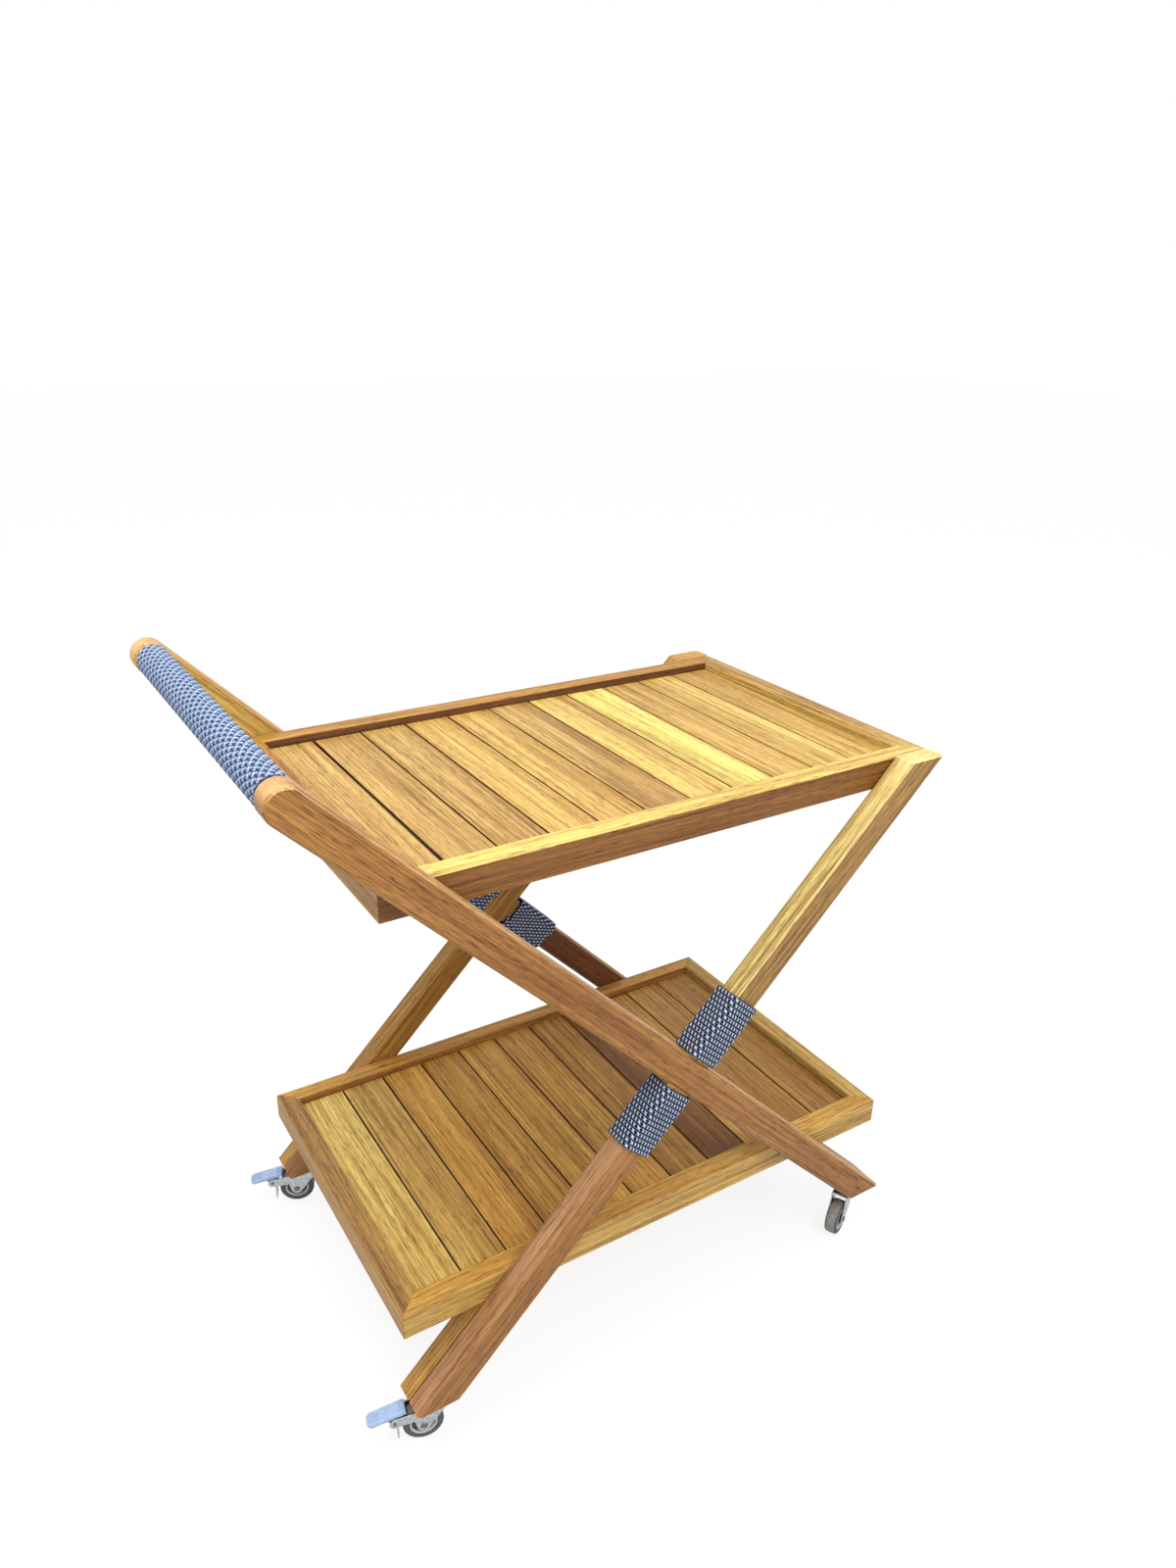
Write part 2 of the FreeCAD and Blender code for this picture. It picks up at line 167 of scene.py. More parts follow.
floor_paint, tree, shader = new_material("matt white floor paint")
matt = add(tree, "BsdfDiffuse", {"Color": floor_grey})
shaded = add(tree, "BsdfDiffuse", {"Color": white})
glow = add(tree, "Emission", {"Color": white})
shown = add(tree, "MixShader", {0: floor_share, 1: glow, 2: shaded})
whole = add(tree, "MixShader", {0: seen_directly(tree), 1: matt, 2: shown})
tree.links.new(whole, tree.nodes["Material Output"].inputs["Surface"])
tree.nodes.remove(shader)
floor_corners = half_floor * np.array([(-1, -1, 0), (1, -1, 0), (1, 1, 0), (-1, 1, 0)])
floor_mesh = bpy.data.meshes.new("floor")
floor_mesh.from_pydata(floor_corners, [], [(0, 1, 2, 3)])
floor_mesh.materials.append(floor_paint)
floor = bpy.data.objects.new("floor", floor_mesh)
scene.collection.objects.link(floor)

world = bpy.data.worlds.new("sky")
world.use_nodes = True
scene.world = world
sky = world.node_tree
strength = ramp(sky, seen_directly(sky), 0.0, 1.0, sky_light, 1.0)
sky.links.new(strength, sky.nodes["Background"].inputs["Strength"])
sky.nodes["Background"].inputs["Color"].default_value = white
print("floor", 2 * half_floor, "m wide, sky", sky_light)

# %% [markdown]
# ## Lamps
#
# In the photograph the tops of the boards are bright and warm and the sides much darker, so the main light
# stands high above the handle end. A weaker lamp stands high on the near side. It keeps the near legs
# readable, and from up there it leaves the far legs in the shade of the top tray.

# %% Lamps
# Place and target in m, size in m, power in W, and colour
lamps = {
    "high soft light": ((-0.8, -0.2, 3.0), (0.05, 0, 0.5), 1.4, 50, "#fff9ec"),
    "near side fill": ((0.4, -2.0, 2.5), (0, 0, 0.3), 1.2, 36, "#fffbf5"),
}


def lamp(name, place, target, size, power, code):
    """Square soft light at a place, turned about X and Z until it faces its target."""
    data = bpy.data.lights.new(name, "AREA")
    data.size = size
    data.energy = power
    data.color = linear(code)[:3]
    obj = bpy.data.objects.new(name, data)
    obj.location = place
    way = np.array(target) - np.array(place)
    tilt = math.atan2(math.hypot(way[0], way[1]), -way[2])
    obj.rotation_euler = Euler((tilt, 0, math.atan2(-way[0], way[1])))
    scene.collection.objects.link(obj)


for name, values in lamps.items():
    lamp(name, *values)
print("lamps", list(lamps))

# %% [markdown]
# ## Oiled hardwood
#
# The wood is a golden tropical hardwood such as iroko, planed, sanded and oiled. The eye sees broad growth
# bands, a finer figure, fibres and short dark pores, all drawn out along the board, under a dull sheen. A
# flat picture of wood would have to be wrapped round each board, and would stretch at the ends. A solid
# pattern goes through the board as the real one does, so its end grain comes right by itself. Each board
# carries its own grain places in metres and its own tones: one up to a certain place, and one beyond it for
# the boards that change. The fourth value of a tone says how strongly the pattern shows, because sanded end
# grain is calmer than the faces. The pores of the real wood are about 0.2 mm wide and are drawn wider here
# so that they show.

# %% Oiled hardwood
# Length and width in mm, detail, roughness, the part of the noise that darkens, and the darkening
wood_layers = {
    "growth bands": (830, 33, 2.0, 0.50, (0.36, 0.70), "#d7c7b3"),
    "figure": (330, 4.8, 4.0, 0.65, (0.46, 0.70), "#bda78f"),
    "fibres": (125, 1.6, 3.0, 0.60, (0.42, 0.68), "#c4af9a"),
    "pores": (20, 0.7, 1.0, 0.50, (0.58, 0.68), "#9c826c"),
}
tone_blend = 60 * MM
oil_smoothest, oil_roughest, oil_shine = 0.42, 0.58, 0.35
pore_depth, pore_strength = 0.2 * MM, 0.35
wood, tree, shader = new_material("oiled iroko")
grain = add(tree, "Attribute", out="Vector", attribute_name="grain")
pattern = add(tree, "Attribute", out="Alpha", attribute_name="tone")
foot_tone = add(tree, "Attribute", out="Color", attribute_name="tone")
head_tone = add(tree, "Attribute", out="Color", attribute_name="head tone")
beyond = ramp(tree, add(tree, "Attribute", out="Fac", attribute_name="climb"), -tone_blend, tone_blend)
colour = mix(tree, beyond, foot_tone, head_tone)
layer = {}
for name, (length, width, detail, rough, (low, high), shade) in wood_layers.items():
    per_metre = (1 / (length * MM), 1 / (width * MM), 1 / (width * MM))
    place = add(tree, "VectorMath", {0: grain, 1: per_metre}, operation="MULTIPLY")
    noise = {"Vector": place, "Scale": 1.0, "Detail": detail, "Roughness": rough}
    layer[name] = add(tree, "TexNoise", noise)
    darkening = ramp(tree, layer[name], low, high, 0.0, pattern)
    colour = mix(tree, darkening, colour, linear(shade), "MULTIPLY")
tree.links.new(colour, shader.inputs["Base Color"])
sheen = ramp(tree, layer["fibres"], noise_low, noise_high, oil_smoothest, oil_roughest)
tree.links.new(sheen, shader.inputs["Roughness"])
relief = add(tree, "Bump", {"Strength": pore_strength, "Distance": pore_depth, "Height": layer["pores"]})
tree.links.new(relief, shader.inputs["Normal"])
shader.inputs["Specular IOR Level"].default_value = oil_shine
print("wood layers", list(wood_layers))

# %% [markdown]
# ## Board tones
#
# The boards of the cart run from pale straw to dark heartwood. One colour for all the wood would be
# simpler, but the lively trays would be lost. Each tone has a name, so that a board's tones can be picked
# from a list.

# %% Board tones
# The three darkest tones also stand partly for painted shade on the faces where they are used
tones = {
    "straw": "#ebde7e", "cream": "#eade95", "pale": "#e3cc76", "gold": "#d6b867", "honey": "#c5a660",
    "amber": "#d4a851", "fawn": "#d3ad77", "hazel": "#c0956a", "tan": "#bf9548", "drab": "#ac8a4e",
    "brown": "#ae7e41", "umber": "#8e612a", "shaded dark heart": "#70472a", "shaded sawn edge": "#5c3a1c",
}
paint = {name: linear(code) for name, code in tones.items()}
print("tones", list(tones))

# %% [markdown]
# ## Boards
#
# A planed board has small rounded edges that catch the light. The frame's boards have flat bevels, so each
# is copied, its loose triangles are merged, and every sharp edge is rounded. A bevel modifier would do the
# same, but the grain has to be measured on the finished points. A board has one tone for its sides and one
# for its top, and a rounded end goes softly from one to the other. The two tones carry painted light: each
# is matched to how lit that face looks, so tops are mostly lighter and sides darker.

# %% Boards
merge_within, flat_within, sharp_from = 0.01 * MM, math.radians(1), math.radians(20)
ease_steps, ease_roundness = 2, 0.5
# One step by which a board's grain is moved on, in m along, across and through it
grain_shift = (0.37, 0.053, 0.029)
# Steps from slat to slat, and before the first
slat_stride, slat_offset = 13, 5
# Upward part of a face's direction at which the top tone, which carries painted light, begins and at which
# it is complete
lit_top_begins, lit_top_complete = 0.2, 0.7
# Share of the pattern that is lost on end grain
end_calm = 0.7


def settle(obj, body, slot, *replaced):
    """Tie a finished piece to its body and hide the solids it stands for; slot is not used."""
    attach(obj, body)
    if replaced:
        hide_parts(*replaced)


def smooth_object(name, mesh):
    """Object in the scene whose faces are all shaded smooth."""
    mesh.polygons.foreach_set("use_smooth", np.ones(len(mesh.polygons), dtype=bool))
    obj = bpy.data.objects.new(name, mesh)
    scene.collection.objects.link(obj)
    return obj


def eased_copy(node, width):
    """Merged copy of a solid with every edge sharper than 20 degrees rounded by width."""
    form = bmesh.new()
    form.from_mesh(nodes[node].data)
    bmesh.ops.remove_doubles(form, verts=form.verts, dist=merge_within)
    bmesh.ops.dissolve_limit(form, angle_limit=flat_within, verts=form.verts, edges=form.edges)
    sharp = [edge for edge in form.edges if edge.calc_face_angle(0) > sharp_from]
    bmesh.ops.bevel(
        form, geom=sharp, offset=width, segments=ease_steps, profile=ease_roundness, affect="EDGES",
        clamp_overlap=True,
    )
    mesh = bpy.data.meshes.new(node + "_look")
    form.to_mesh(mesh)
    form.free()
    obj = smooth_object(node + "_look", mesh)
    obj.modifiers.new("even normals", "WEIGHTED_NORMAL").keep_sharp = True
    return obj


def measured(items, name):
    """Array of xyz rows read from mesh points or faces."""
    values = np.empty(len(items) * 3)
    items.foreach_get(name, values)
    return values.reshape(-1, 3)


def board(node, along, across, pairs, slot, ease, number=None, heads=None, split=(0, 0, 0)):
    """Eased board with grain places on its points and tones on its faces.

    The grain place is the distance along, across and through the board, moved on by an amount of its own
    for each board. number tells which board of the node a place belongs to, and pairs holds the side and
    top tone of each. heads holds the tones beyond the place called split, for a board that changes there.
    """
    obj = eased_copy(node, ease)
    mesh = obj.data
    points = measured(mesh.vertices, "co")
    middles, facing = measured(mesh.polygons, "center"), measured(mesh.polygons, "normal")
    along, across = np.array(along, dtype=float), np.array(across, dtype=float)
    moves = np.full(len(points), sum(ord(letter) for letter in node))
    which, level = np.zeros(len(middles), dtype=int), facing[:, 2:]
    if number:
        # The boards of a tray differ from each other and are planed on both faces
        moves += slat_stride * number(points) + slat_offset
        which, level = number(middles), np.abs(level)
    place = np.stack([points @ along, points @ across, points @ np.cross(along, across)], axis=1)
    place += moves[:, None] * grain_shift
    mesh.attributes.new("grain", "FLOAT_VECTOR", "POINT").data.foreach_set("vector", place.ravel())
    climb = (points - split) @ along
    mesh.attributes.new("climb", "FLOAT", "POINT").data.foreach_set("value", climb)
    # Faces turned up take the top tone and the others the side tone: painted light, mostly lighter on top
    # and darker on the sides
    lit_top_share = np.clip((level - lit_top_begins) / (lit_top_complete - lit_top_begins), 0, 1)
    for name, chosen in (("tone", pairs), ("head tone", heads or pairs)):
        colours = np.array([[paint[side], paint[top]] for side, top in chosen])
        shades = (1 - lit_top_share) * colours[which, 0] + lit_top_share * colours[which, 1]
        shades[:, 3] = 1 - end_calm * (facing @ along) ** 2
        mesh.attributes.new(name, "FLOAT_COLOR", "FACE").data.foreach_set("color", shades.ravel())
    mesh.materials.append(wood)
    settle(obj, "frame", slot, node)


print("board tools ready")

# %% [markdown]
# ## Tray slats
#
# Each tray has eleven separate boards of clearly different tones, with narrow dark joints. The tones are
# picked by name, board by board from the handle end. The slat sides in the joints are painted dark, partly
# as the shade in the narrow joints.

# %% Tray slats
slat_tops = {
    "top_tray_slats": "honey honey honey gold gold honey pale straw gold pale gold".split(),
    # The darker umber and tan boards towards the front end of the lower tray are partly painted shade of the
    # top tray and the handle leg
    "lower_tray_slats": "pale gold amber amber amber amber tan umber amber tan tan".split(),
}
slat_count, slat_ease = 11, 0.5 * MM
slat_low, slat_high = np.array(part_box("top_tray_slats"))
across_tray, along_tray, upward = (0, 1, 0), (1, 0, 0), (0, 0, 1)


def slat_number(places):
    """Number of the slat at each place: its share of the tray's length, in elevenths."""
    share = (places[:, 0] - slat_low[0]) / (slat_high[0] - slat_low[0])
    return np.clip((share * slat_count).astype(int), 0, slat_count - 1)


for node, tops in slat_tops.items():
    # The slats' dark side tone is partly painted shade in the joints
    pairs = [("shaded sawn edge", top) for top in tops]
    board(node, across_tray, along_tray, pairs, "slat_wood", slat_ease, slat_number)
print("slats", {node: len(tops) for node, tops in slat_tops.items()})

# %% [markdown]
# ## Tray rails and ledgers
#
# Four mitred rails frame each tray, and square ledgers inside carry the slats. The grain of a rail turns
# with it, which is what makes the mitres readable.

# %% Tray rails and ledgers
rail_ease = 0.8 * MM
# Side tone and top tone
rail_tones = {
    # The right rail's umber side is partly a dark board and partly painted shade on its near face, and the
    # left rail's darkest side is painted shade on its inner face
    "top_tray_right_rail": ("umber", "pale"),
    "top_tray_left_rail": ("shaded dark heart", "tan"),
    "top_tray_rear_rail": ("tan", "tan"),
    "top_tray_front_rail": ("pale", "honey"),
    "top_tray_ledgers": ("brown", "brown"),
    "lower_tray_right_rail": ("gold", "amber"),
    "lower_tray_left_rail": ("brown", "amber"),
    "lower_tray_rear_rail": ("tan", "drab"),
    "lower_tray_front_rail": ("gold", "gold"),
    "lower_tray_ledgers": ("brown", "brown"),
}
for node, pair in rail_tones.items():
    end_rail = "rear" in node or "front" in node
    board(node, across_tray if end_rail else along_tray, upward, [pair], "rail_wood", rail_ease)
print("rails and ledgers", len(rail_tones))

# %% [markdown]
# ## Legs, foot blocks and handle bar
#
# The legs are straight boards that cross at the middle, and their grain runs up the slope. In the frame
# they climb at a little over 45 degrees, so the grain does too. A grain that ran level would look like a
# picture pasted on the leg. The two legs with cord bindings are paler above the crossing than below it, and
# the bindings hide the change. On the left handle leg the dark tone below is partly darker wood and partly
# painted shade under the top tray.

# %% Legs, foot blocks and handle bar
leg_ease, bar_ease = 1.0 * MM, 0.5 * MM
lean = math.radians(45.14)
to_front, to_rear = (math.cos(lean), 0, math.sin(lean)), (-math.cos(lean), 0, math.sin(lean))
# Direction of the grain, side tone and top tone, and the same two above the crossing where they change
leg_tones = {
    "right_handle_leg": (to_rear, ("brown", "fawn")),
    # Below the crossing the left handle leg's dark tone is partly painted shade under the top tray
    "left_handle_leg": (to_rear, ("shaded dark heart", "fawn"), ("gold", "fawn")),
    "right_tray_leg": (to_front, ("brown", "hazel"), ("drab", "cream")),
    "left_tray_leg": (to_front, ("tan", "tan")),
    "rear_right_foot_block": (to_front, ("tan", "tan")),
    "rear_left_foot_block": (to_front, ("brown", "brown")),
    "front_right_foot_block": (to_rear, ("brown", "brown")),
    "front_left_foot_block": (to_rear, ("brown", "brown")),
}
wraps = [side + "_" + height + "_wrap" for side in ("right", "left") for height in ("upper", "lower")]
crossing = np.mean([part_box(wrap) for wrap in wraps], axis=(0, 1))
for node, (climbing, pair, *head) in leg_tones.items():
    board(node, climbing, across_tray, [pair], "leg_wood", leg_ease, heads=head, split=crossing)
board("handle_bar", across_tray, along_tray, [("tan", "tan")], "leg_wood", bar_ease)
print("legs and blocks", len(leg_tones), "and the handle bar")

# %% [markdown]
# ## Braided polyester cord
#
# The bindings are round cord about 6 mm thick, braided from pale blue-grey and mid-blue yarns. The eye
# sees rows of small pale diamonds in a dull dark net, and a dark groove between turns. The dark net between
# the strands and the dark groove are painted shade. Modelling every yarn would take millions of faces, so
# the cord is a real tube in its real turns, and only its yarns are a pattern on the tube. Two families of
# strands wind opposite ways: their edges are whole steps of "one" and "two", and where both steps are odd a
# dark yarn comes up as a fleck. On the handle both families show alike. On the legs the first hardly shows,
# so the yarns look like slanting strokes. The leg bindings are the same cord in a darker copy, which is
# painted shade on the sides of the legs. The yarns of such a braid are 1 to 2 mm wide and are drawn coarser
# here so that they show. The number of flecks in a turn ends in a half, so that the flecks of one turn fall
# between those of the next and make no stripes.

# %% Braided polyester cord
diamonds_round, half_strand, quarter_turn = 4.0, 0.5, 0.25
# Dome up to which there is only the net's painted shade, from which there is none, and from which the yarn
# is at full height
net_shade_full, net_shade_gone, yarn_full = 0.004, 0.03, 0.12
groove_shade_width = 0.1
yarn_height, yarn_strength = 0.5 * MM, 0.6
yarn_rough, yarn_shine = 0.9, 0.05
# Weathering in patches about 6 mm across: the part of the noise that fades, by how much and to what tint
patches_per_metre = 160.0
fade_low, fade_high, fade_share, fade_tint = 0.4, 0.7, 0.5, "#c4c8d1"


def braid(name, light, middle, dark, length, one_share, groove_shade_start, groove_shade_share):
    """Cord finish whose diamonds are length long, four round the cord, pale, mid and dark.

    one_share says how much the first family of strands shows beside the second. From groove_shade_start, in
    turns round the cord from its crown, the sides of the cord go to the dark colour by groove_shade_share,
    as painted shade between turns. The dark colour is a dark yarn in the flecks and painted shade between
    the strands.
    """
    material, tree, shader = new_material(name)
    place = add(tree, "SeparateXYZ", {0: add(tree, "TexCoord", out="UV")}).node
    run = maths(tree, "DIVIDE", place.outputs[0], length)
    turn = maths(tree, "MULTIPLY", place.outputs[1], diamonds_round)
    one = maths(tree, "ADD", run, turn)
    two = maths(tree, "SUBTRACT", run, turn)
    # Distance to the nearest strand edge of each family, and their product, which domes each diamond
    edge_one = maths(tree, "PINGPONG", one, half_strand)
    edge_two = maths(tree, "PINGPONG", two, half_strand)
    dome = maths(tree, "MULTIPLY", edge_one, edge_two)
    # Whole steps of each family are even or odd: one odd gives the middle yarn, two the dark fleck
    odd_one = maths(tree, "PINGPONG", maths(tree, "FLOOR", one), 1.0)
    odd_two = maths(tree, "PINGPONG", maths(tree, "FLOOR", two), 1.0)
    odd = maths(tree, "MULTIPLY_ADD", odd_one, one_share, odd_two)
    fleck = maths(tree, "MULTIPLY", odd_one, odd_two)
    # Painted shade between the strands, where the dome is low
    net_shade = ramp(tree, dome, net_shade_full, net_shade_gone, 1.0, 0.0)
    # The sides of the cord, a quarter turn from its crown, lie in the groove between turns, where shade is
    # painted
    side = maths(tree, "PINGPONG", place.outputs[1], quarter_turn)
    groove_shade = ramp(tree, side, groove_shade_start, groove_shade_start + groove_shade_width, 0.0, groove_shade_share)
    yarn = mix(tree, odd, linear(light), linear(middle))
    for darkening in (fleck, net_shade, groove_shade):
        yarn = mix(tree, darkening, yarn, linear(dark))
    spot = add(tree, "TexCoord", out="Object")
    patch = add(tree, "TexNoise", {"Vector": spot, "Scale": patches_per_metre})
    faded = ramp(tree, patch, fade_low, fade_high, 0.0, fade_share)
    yarn = mix(tree, faded, yarn, linear(fade_tint), "MULTIPLY")
    tree.links.new(yarn, shader.inputs["Base Color"])
    swell = ramp(tree, dome, 0.0, yarn_full)
    relief = add(tree, "Bump", {"Strength": yarn_strength, "Distance": yarn_height, "Height": swell})
    tree.links.new(relief, shader.inputs["Normal"])
    shader.inputs["Roughness"].default_value = yarn_rough
    shader.inputs["Specular IOR Level"].default_value = yarn_shine
    return material


print("cord finish ready")

# %% [markdown]
# ## Surfaces from grids
#
# A tube or a turned piece is a grid of points: one row for each step along, one column for each step
# round. Four neighbours make a face, the last column joins the first, and points that meet at a pole or an
# end are merged, so the skin is closed. A cord is such a tube along a path, and its two ends are tucked in.

# %% Surfaces from grids
seam_within = 0.001 * MM
# Angles in degrees from which an edge is shown sharp
hardware_crease, cord_crease = 40, 60
cord_sides = 12
# Half the height and width of a cord, and how its ends go down into the wood
cord_high, cord_wide = 2.6 * MM, 3.35 * MM
tuck_reach, tuck_depth = 14 * MM, 7 * MM


def skin(name, grids, material, runs=None, crease=hardware_crease):
    """Closed mesh of grids (rows, columns, xyz); u is the row's run, v the share of the way round."""
    points, faces, spread, first = [], [], [], 0
    for grid in grids:
        rows, columns = grid.shape[:2]
        row, column = np.meshgrid(np.arange(rows - 1), np.arange(columns), indexing="ij")
        ring = [(row, column), (row, column + 1), (row + 1, column + 1), (row + 1, column)]
        corner = [first + r * columns + c % columns for r, c in ring]
        run = np.arange(rows) if runs is None else runs
        uv = [np.stack([run[r], c / columns], axis=-1) for r, c in ring]
        faces.append(np.stack(corner, axis=-1).reshape(-1, 4))
        spread.append(np.stack(uv, axis=2).reshape(-1, 2))
        points.append(grid.reshape(-1, 3))
        first += rows * columns
    mesh = bpy.data.meshes.new(name)
    mesh.from_pydata(np.concatenate(points), [], np.concatenate(faces))
    uv_layer = mesh.uv_layers.new(name="UVMap")
    uv_layer.data.foreach_set("uv", np.concatenate(spread).ravel().astype(np.float32))
    form = bmesh.new()
    form.from_mesh(mesh)
    bmesh.ops.remove_doubles(form, verts=form.verts, dist=seam_within)
    bmesh.ops.recalc_face_normals(form, faces=form.faces)
    form.to_mesh(mesh)
    form.free()
    obj = smooth_object(name, mesh)
    mesh.set_sharp_from_angle(angle=math.radians(crease))
    mesh.materials.append(material)
    return obj


def cord_tube(path, out, wide):
    """Grid of an oval cord: path + high cos(a) out + wide sin(a) side, with both ends closed."""
    ahead = np.gradient(path, axis=0)
    side = np.cross(ahead, out)
    side /= np.linalg.norm(side, axis=1, keepdims=True)
    angle = np.linspace(0, 2 * math.pi, cord_sides, endpoint=False)[None, :, None]
    oval = cord_high * np.cos(angle) * out[:, None] + wide * np.sin(angle) * side[:, None]
    ends = [path[k, None, None].repeat(cord_sides, axis=1) for k in (0, -1)]
    return np.concatenate([ends[0], path[:, None] + oval, ends[1]])


def runs_along(path):
    """Distance from the start of a path to each of its points."""
    return np.concatenate([[0], np.cumsum(np.linalg.norm(np.diff(path, axis=0), axis=1))])


def tucked(path, out):
    """Path whose two ends sink along -out, over a reach, as a square of the distance left."""
    run = runs_along(path)
    left = np.minimum(run, run[-1] - run)
    sink = tuck_depth * np.clip(1 - left / tuck_reach, 0, 1) ** 2
    return path - sink[:, None] * out


def wind(node, path, out, wide, material):
    """Cord along a path in place of a solid, tucked in at both ends; returns its length."""
    path = tucked(path, out)
    run = runs_along(path)
    # The rows that close the two ends repeat the first and the last distance
    rows = np.concatenate([run[:1], run, run[-1:]])
    cord = skin(node + "_look", [cord_tube(path, out, wide)], material, rows, cord_crease)
    settle(cord, "frame", "cord", node)
    return run[-1]


print("surface tools ready")

# %% [markdown]
# ## Handle cord
#
# Sixty-three turns of cord cover the bar from leg to leg. A turn's path is a helix: the angle grows evenly
# while the place moves along the bar by one cord width for each turn. Both ends go down under the last turn
# into the bar.

# %% Handle cord
handle_turns, handle_steps, handle_flecks = 63, 30, 12.5
bar_low, bar_high = np.array(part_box("handle_bar"))
helix_radius = (bar_high[2] - bar_low[2]) / 2 + cord_high
helix_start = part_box("right_handle_leg")[1][1] + cord_wide
helix_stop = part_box("left_handle_leg")[0][1] - cord_wide
angle = np.linspace(0, 2 * math.pi * handle_turns, handle_turns * handle_steps + 1)
spoke = np.stack([np.cos(angle), np.zeros_like(angle), -np.sin(angle)], axis=1)
helix = (bar_low + bar_high) / 2 + spoke * helix_radius
helix[:, 1] = np.linspace(helix_start, helix_stop, len(angle))
handle_diamond = 2 * math.pi * helix_radius / handle_flecks / 2
handle_finish = braid(
    "pale braided polyester", "#b4c4df", "#91a4c6", "#303b57", handle_diamond,
    one_share=1.0, groove_shade_start=0.1, groove_shade_share=0.8,
)
turn_width = (helix_stop - helix_start) / handle_turns
handle_length = wind("handle_cord", helix, spoke, turn_width / 2, handle_finish)
print("handle cord", handle_turns, "turns,", round(handle_length, 2), "m")

# %% [markdown]
# ## Leg bindings
#
# Beside each crossing the cord is wound fourteen times round a leg. One turn follows a rectangle with
# rounded corners: four quarter circles joined by straight runs, measured off at even steps. The turns then
# climb the leg evenly, and the two ends are tucked into the leg's inner face.

# %% Leg bindings
wrap_turns, wrap_steps, wrap_pitch, wrap_flecks = 14, 72, 6.7 * MM, 26.5
leg_half_deep, leg_half_wide, leg_corner, leg_middle = 15 * MM, 20 * MM, 3 * MM, 240 * MM
corner_points = 9


def turn_round_leg(half_deep, half_wide, radius, count):
    """Places and outward directions at even steps round a rectangle with rounded corners."""
    arc = np.linspace(0, math.pi / 2, corner_points) + np.arange(4)[:, None] * math.pi / 2
    out = np.stack([np.cos(arc), np.sin(arc)], axis=-1)
    signs = np.array([(1, 1), (-1, 1), (-1, -1), (1, -1)])[:, None]
    spots = signs * (half_deep - radius, half_wide - radius) + radius * out
    spots, out = spots.reshape(-1, 2), out.reshape(-1, 2)
    spots, out = np.concatenate([spots, spots[:1]]), np.concatenate([out, out[:1]])
    run = runs_along(spots)
    even = np.linspace(0, run[-1], count, endpoint=False)
    spot = np.stack([np.interp(even, run, spots[:, k]) for k in (0, 1)], axis=1)
    face = np.stack([np.interp(even, run, out[:, k]) for k in (0, 1)], axis=1)
    return spot, face / np.linalg.norm(face, axis=1, keepdims=True)


spot, face = turn_round_leg(
    leg_half_deep + cord_high, leg_half_wide + cord_high, leg_corner + cord_high, wrap_steps
)
# Start in the middle of the inner face, an eighth of a turn back
spot, face = np.roll(spot, wrap_steps // 8, axis=0), np.roll(face, wrap_steps // 8, axis=0)
spot, face = np.tile(spot, (wrap_turns, 1)), np.tile(face, (wrap_turns, 1))
rise = np.linspace(-0.5, 0.5, len(spot)) * (wrap_turns - 1) * wrap_pitch
wrap_diamond = runs_along(spot[:wrap_steps + 1])[-1] / wrap_flecks / 2
# The leg cord is a darker copy of the handle cord: the same cord, with painted shade for the sides of the
# legs
wrap_finish = braid(
    "shaded braided polyester", "#c4cfe4", "#6c7a9a", "#0f1428", wrap_diamond,
    one_share=0.3, groove_shade_start=0.07, groove_shade_share=1.0,
)
for wrap in wraps:
    climbing, inward = (to_front, 1) if wrap.startswith("right") else (to_rear, -1)
    axis, deep = np.array(climbing), np.array([0.0, inward, 0.0])
    across = np.cross(axis, deep)
    outward = face[:, :1] * deep + face[:, 1:] * across
    middle = np.mean(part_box(wrap), axis=0)
    middle[1] = -inward * leg_middle
    coil = middle + spot[:, :1] * deep + spot[:, 1:] * across + rise[:, None] * axis
    wrap_length = wind(wrap, coil, outward, cord_wide, wrap_finish)
print("leg bindings", wrap_turns, "turns each,", round(wrap_length, 2), "m")

# %% [markdown]
# ## Caster finishes
#
# The casters are bought-in hardware. The forks and brake plates are pressed steel with bright zinc plating,
# which looks faintly cloudy, and the rivets are duller bare steel. The tyres are moulded grey rubber, paler
# on the tread and darker on the sides, and the darker side tone is partly painted shade. The wheel centres
# are nylon, the pedals pale blue ABS and the brake levers black ABS, all with the fine dull grain of a
# mould. None is one flat colour: each has two near tones in soft patches, and a fine grain in its surface.

# %% Caster finishes
# Two tones, patch size in mm, roughness and its spread, share of metal, depth of the fine grain in mm
hardware_looks = {
    "bright zinc plating": ("#bdbfc1", "#a4a8ac", 4, 0.34, 0.08, 1.0, 0.02),
    "dull bare steel": ("#7d7f83", "#5f6267", 2, 0.45, 0.08, 1.0, 0.02),
    # The darker side rubber is partly painted shade, and the paler tread rubber is the tyre's own grey
    "moulded grey rubber": ("#53555b", "#44464c", 6, 0.75, 0.08, 0.0, 0.05),
    "pale tread grey rubber": ("#8d8a86", "#74726f", 4, 0.88, 0.06, 0.0, 0.05),
    "pale nylon": ("#c3c6cb", "#b0b4ba", 5, 0.45, 0.06, 0.0, 0.02),
    "dark nylon": ("#3a3c42", "#2c2e33", 5, 0.50, 0.06, 0.0, 0.02),
    "pale blue ABS": ("#9cb3d5", "#90a7cb", 9, 0.42, 0.06, 0.0, 0.02),
    "black ABS": ("#1c1d20", "#131416", 6, 0.50, 0.06, 0.0, 0.02),
}
tint_low, tint_high, tint_detail = 0.35, 0.65, 3.0
fine_size, fine_detail, fine_strength = 0.3 * MM, 1.0, 0.5


